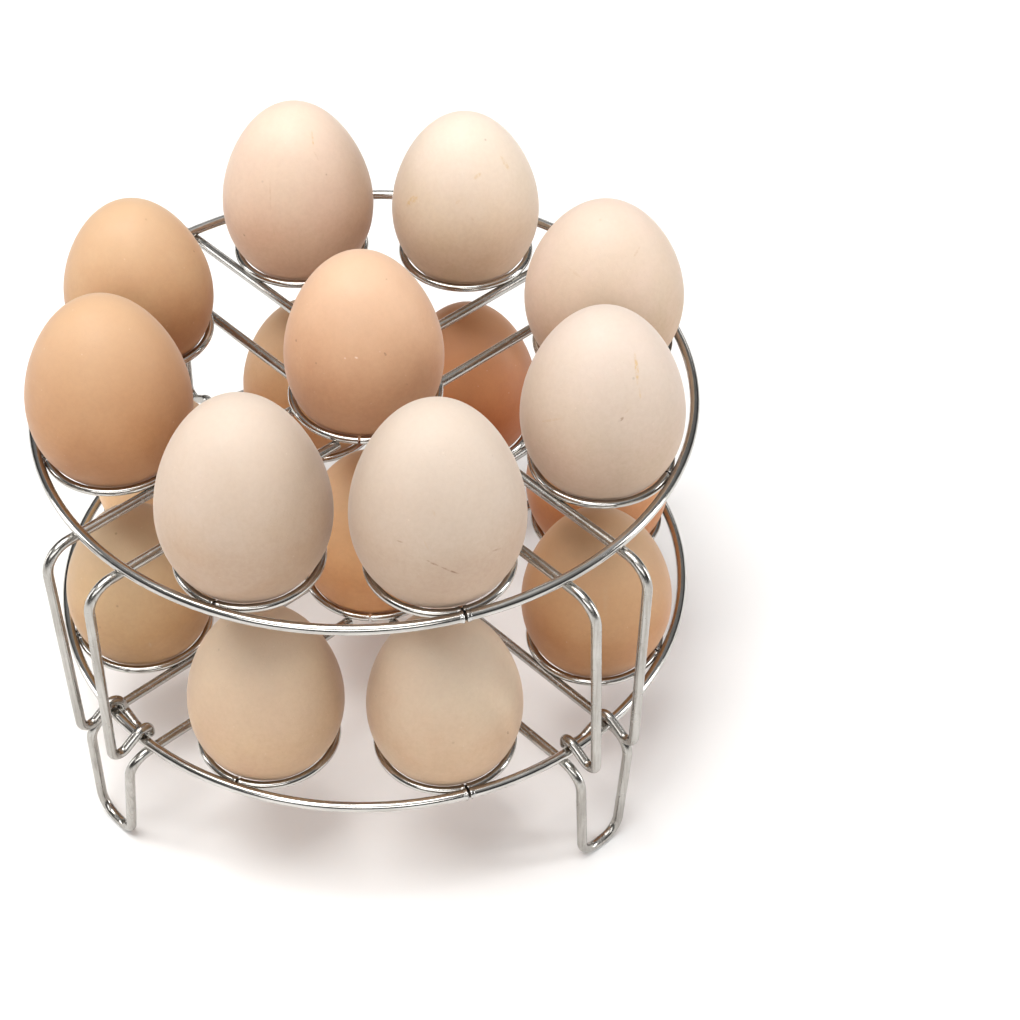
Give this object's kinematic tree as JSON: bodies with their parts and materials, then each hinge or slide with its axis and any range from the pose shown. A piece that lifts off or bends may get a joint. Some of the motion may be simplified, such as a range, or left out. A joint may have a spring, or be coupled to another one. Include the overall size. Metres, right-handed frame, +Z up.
{
  "type": "two-tier wire egg steaming rack",
  "caption": "Stackable round wire rack for steaming eggs: the upper tier clips over the rim of the lower one, and an egg stands in every ring.",
  "frame": {"origin": "on the floor, under the middle of the rack", "axes": "+Z up through the middle of both tiers; -Y is the front; the legs stand on the diagonals"},
  "size_m": [0.195, 0.195, 0.1714],
  "materials": {
    "rim_wire": "polished",
    "ring_wire": "polished",
    "leg_wire": "polished",
    "eggshell_cream": "satin",
    "eggshell_pale_pink": "satin",
    "eggshell_beige": "satin",
    "eggshell_tan": "satin",
    "eggshell_brown": "satin",
    "eggshell_dark_brown": "satin"
  },
  "bodies": {
    "lower_rack": {"lower_rim": "rim_wire", "lower_centre_ring": "ring_wire", "lower_egg_ring_front_left": "ring_wire", "lower_egg_ring_front_right": "ring_wire", "lower_egg_ring_right_front": "ring_wire", "lower_egg_ring_right_back": "ring_wire", "lower_egg_ring_back_right": "ring_wire", "lower_egg_ring_back_left": "ring_wire", "lower_egg_ring_left_back": "ring_wire", "lower_egg_ring_left_front": "ring_wire", "lower_leg_front_left": "leg_wire", "lower_leg_front_right": "leg_wire", "lower_leg_back_right": "leg_wire", "lower_leg_back_left": "leg_wire"},
    "upper_rack": {"upper_rim": "rim_wire", "upper_centre_ring": "ring_wire", "upper_egg_ring_front_left": "ring_wire", "upper_egg_ring_front_right": "ring_wire", "upper_egg_ring_right_front": "ring_wire", "upper_egg_ring_right_back": "ring_wire", "upper_egg_ring_back_right": "ring_wire", "upper_egg_ring_back_left": "ring_wire", "upper_egg_ring_left_back": "ring_wire", "upper_egg_ring_left_front": "ring_wire", "upper_leg_front_left": "leg_wire", "upper_leg_front_right": "leg_wire", "upper_leg_back_right": "leg_wire", "upper_leg_back_left": "leg_wire"},
    "egg_lower_front_left": {"lower_egg_front_left": "eggshell_beige"},
    "egg_lower_front_right": {"lower_egg_front_right": "eggshell_beige"},
    "egg_lower_right_front": {"lower_egg_right_front": "eggshell_beige"},
    "egg_lower_right_back": {"lower_egg_right_back": "eggshell_brown"},
    "egg_lower_back_right": {"lower_egg_back_right": "eggshell_dark_brown"},
    "egg_lower_back_left": {"lower_egg_back_left": "eggshell_tan"},
    "egg_lower_left_back": {"lower_egg_left_back": "eggshell_tan"},
    "egg_lower_left_front": {"lower_egg_left_front": "eggshell_beige"},
    "egg_lower_centre": {"lower_egg_centre": "eggshell_tan"},
    "egg_upper_front_left": {"upper_egg_front_left": "eggshell_pale_pink"},
    "egg_upper_front_right": {"upper_egg_front_right": "eggshell_pale_pink"},
    "egg_upper_right_front": {"upper_egg_right_front": "eggshell_pale_pink"},
    "egg_upper_right_back": {"upper_egg_right_back": "eggshell_cream"},
    "egg_upper_back_right": {"upper_egg_back_right": "eggshell_cream"},
    "egg_upper_back_left": {"upper_egg_back_left": "eggshell_beige"},
    "egg_upper_left_back": {"upper_egg_left_back": "eggshell_tan"},
    "egg_upper_left_front": {"upper_egg_left_front": "eggshell_tan"},
    "egg_upper_centre": {"upper_egg_centre": "eggshell_brown"}
  },
  "joints": [
    {"name": "upper_rack_lift", "type": "slide", "parent": "lower_rack", "child": "upper_rack", "axis": [0, 0, 1], "range_m": [0, 0.12]},
    {"name": "lower_egg_front_left_lift", "type": "slide", "parent": "lower_rack", "child": "egg_lower_front_left", "axis": [0, 0, 1], "range_m": [0, 0.012]},
    {"name": "lower_egg_front_right_lift", "type": "slide", "parent": "lower_rack", "child": "egg_lower_front_right", "axis": [0, 0, 1], "range_m": [0, 0.012]},
    {"name": "lower_egg_right_front_lift", "type": "slide", "parent": "lower_rack", "child": "egg_lower_right_front", "axis": [0, 0, 1], "range_m": [0, 0.012]},
    {"name": "lower_egg_right_back_lift", "type": "slide", "parent": "lower_rack", "child": "egg_lower_right_back", "axis": [0, 0, 1], "range_m": [0, 0.012]},
    {"name": "lower_egg_back_right_lift", "type": "slide", "parent": "lower_rack", "child": "egg_lower_back_right", "axis": [0, 0, 1], "range_m": [0, 0.012]},
    {"name": "lower_egg_back_left_lift", "type": "slide", "parent": "lower_rack", "child": "egg_lower_back_left", "axis": [0, 0, 1], "range_m": [0, 0.012]},
    {"name": "lower_egg_left_back_lift", "type": "slide", "parent": "lower_rack", "child": "egg_lower_left_back", "axis": [0, 0, 1], "range_m": [0, 0.012]},
    {"name": "lower_egg_left_front_lift", "type": "slide", "parent": "lower_rack", "child": "egg_lower_left_front", "axis": [0, 0, 1], "range_m": [0, 0.012]},
    {"name": "lower_egg_centre_lift", "type": "slide", "parent": "lower_rack", "child": "egg_lower_centre", "axis": [0, 0, 1], "range_m": [0, 0.012]},
    {"name": "upper_egg_front_left_lift", "type": "slide", "parent": "upper_rack", "child": "egg_upper_front_left", "axis": [0, 0, 1], "range_m": [0, 0.06]},
    {"name": "upper_egg_front_right_lift", "type": "slide", "parent": "upper_rack", "child": "egg_upper_front_right", "axis": [0, 0, 1], "range_m": [0, 0.06]},
    {"name": "upper_egg_right_front_lift", "type": "slide", "parent": "upper_rack", "child": "egg_upper_right_front", "axis": [0, 0, 1], "range_m": [0, 0.06]},
    {"name": "upper_egg_right_back_lift", "type": "slide", "parent": "upper_rack", "child": "egg_upper_right_back", "axis": [0, 0, 1], "range_m": [0, 0.06]},
    {"name": "upper_egg_back_right_lift", "type": "slide", "parent": "upper_rack", "child": "egg_upper_back_right", "axis": [0, 0, 1], "range_m": [0, 0.06]},
    {"name": "upper_egg_back_left_lift", "type": "slide", "parent": "upper_rack", "child": "egg_upper_back_left", "axis": [0, 0, 1], "range_m": [0, 0.06]},
    {"name": "upper_egg_left_back_lift", "type": "slide", "parent": "upper_rack", "child": "egg_upper_left_back", "axis": [0, 0, 1], "range_m": [0, 0.06]},
    {"name": "upper_egg_left_front_lift", "type": "slide", "parent": "upper_rack", "child": "egg_upper_left_front", "axis": [0, 0, 1], "range_m": [0, 0.06]},
    {"name": "upper_egg_centre_lift", "type": "slide", "parent": "upper_rack", "child": "egg_upper_centre", "axis": [0, 0, 1], "range_m": [0, 0.06]}
  ]
}
